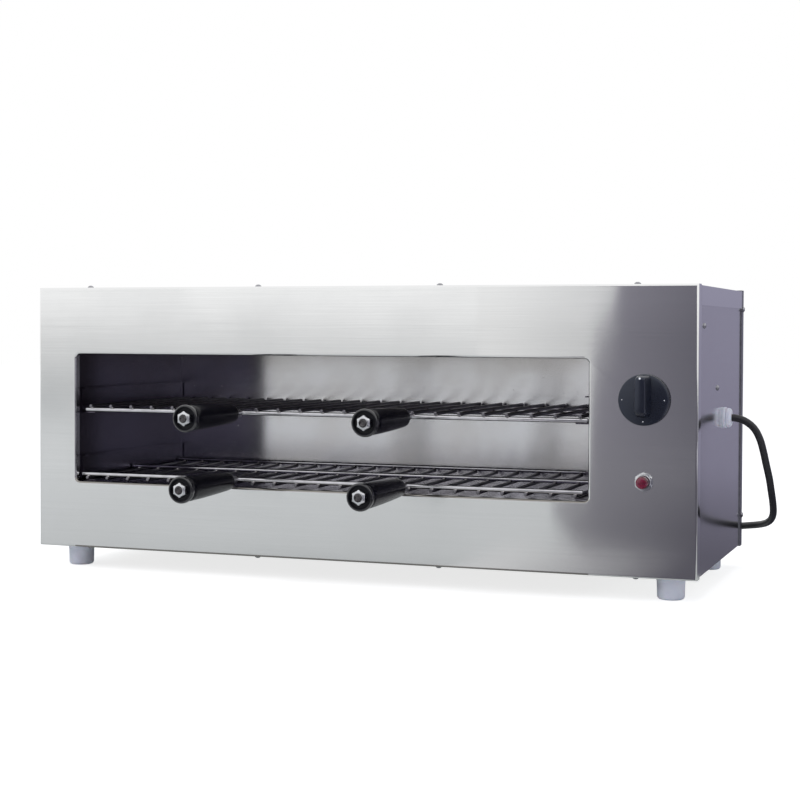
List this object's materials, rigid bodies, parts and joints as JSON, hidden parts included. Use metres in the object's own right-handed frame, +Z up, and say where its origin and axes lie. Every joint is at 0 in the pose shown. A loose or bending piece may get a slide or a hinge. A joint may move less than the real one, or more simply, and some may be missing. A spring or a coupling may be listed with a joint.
{
  "type": "cheese melter",
  "caption": "Countertop electric cheese melter: a folded sheet casing with an open front window, wire racks on turned pull handles, a selector knob, an indicator lamp and a mains lead.",
  "frame": {"origin": "middle of the footprint of the casing with its handles, on the surface that the feet stand on", "axes": "+X to the right seen from the front, +Y from front to back, +Z up"},
  "size_m": [0.8137, 0.5601, 0.3258],
  "materials": {
    "casing_steel": "horizontally brushed stainless sheet, folded",
    "chamber_steel": "stainless sheet, darkened by heat",
    "insulation": "mineral wool slab",
    "element_sheath": "oxidised alloy sheath",
    "ceramic": "unglazed ceramic",
    "brass": "plain brass",
    "rack_wire": "bright plated wire, dulled",
    "handle_plastic": "moulded black phenolic",
    "plated_hardware": "zinc plated",
    "knob_plastic": "moulded black, satin gloss",
    "lens_red": "deep red moulded lens",
    "dark_plastic": "moulded black",
    "white_plastic": "moulded white nylon",
    "wire_insulation": "silicone insulation",
    "cord_jacket": "smooth black jacket"
  },
  "bodies": {
    "root": {"front_panel": "casing_steel", "top_cover": "casing_steel", "bottom_panel": "casing_steel", "left_side_panel": "casing_steel", "right_side_panel": "casing_steel", "back_panel": "casing_steel", "front_panel_screws": "plated_hardware", "back_panel_screws": "plated_hardware", "left_inner_wall": "chamber_steel", "right_inner_wall": "chamber_steel", "rear_inner_wall": "chamber_steel", "chamber_ceiling": "chamber_steel", "chamber_floor": "chamber_steel", "ceiling_insulation": "insulation", "front_element": "element_sheath", "rear_element": "element_sheath", "element_hangers": "chamber_steel", "element_bushes": "ceramic", "element_terminals": "brass", "upper_left_runner": "chamber_steel", "upper_right_runner": "chamber_steel", "lower_left_runner": "chamber_steel", "lower_right_runner": "chamber_steel", "selector_switch": "ceramic", "selector_screws": "plated_hardware", "indicator_bezel": "plated_hardware", "indicator_lens": "lens_red", "indicator_body": "dark_plastic", "terminal_block": "white_plastic", "terminal_screw": "plated_hardware", "earth_screw": "plated_hardware", "internal_wiring": "wire_insulation", "cable_gland": "white_plastic", "gland_locknut": "white_plastic", "mains_cord": "cord_jacket", "cord_coil": "cord_jacket", "plug_lead": "cord_jacket", "cord_tie": "dark_plastic", "mains_plug": "dark_plastic", "plug_pins": "brass", "front_left_foot": "white_plastic", "front_right_foot": "white_plastic", "rear_left_foot": "white_plastic", "rear_right_foot": "white_plastic", "foot_screws": "plated_hardware", "foot_nuts": "plated_hardware"},
    "upper_rack": {"upper_rack": "rack_wire", "upper_handle_studs": "rack_wire", "upper_left_handle": "handle_plastic", "upper_right_handle": "handle_plastic", "upper_handle_nuts": "plated_hardware"},
    "lower_rack": {"lower_rack": "rack_wire", "lower_handle_studs": "rack_wire", "lower_left_handle": "handle_plastic", "lower_right_handle": "handle_plastic", "lower_handle_nuts": "plated_hardware"},
    "selector": {"selector_knob": "knob_plastic", "selector_shaft": "plated_hardware"}
  },
  "joints": [
    {"name": "upper_rack_slide", "type": "slide", "parent": "root", "child": "upper_rack", "axis": [0, -1, 0], "range_m": [0, 0.2]},
    {"name": "lower_rack_slide", "type": "slide", "parent": "root", "child": "lower_rack", "axis": [0, -1, 0], "range_m": [0, 0.2]},
    {"name": "selector_turn", "type": "hinge", "parent": "root", "child": "selector", "pos_m": [0.327, -0.09, 0.206], "axis": [0, 1, 0], "range_deg": [0, 270]}
  ]
}
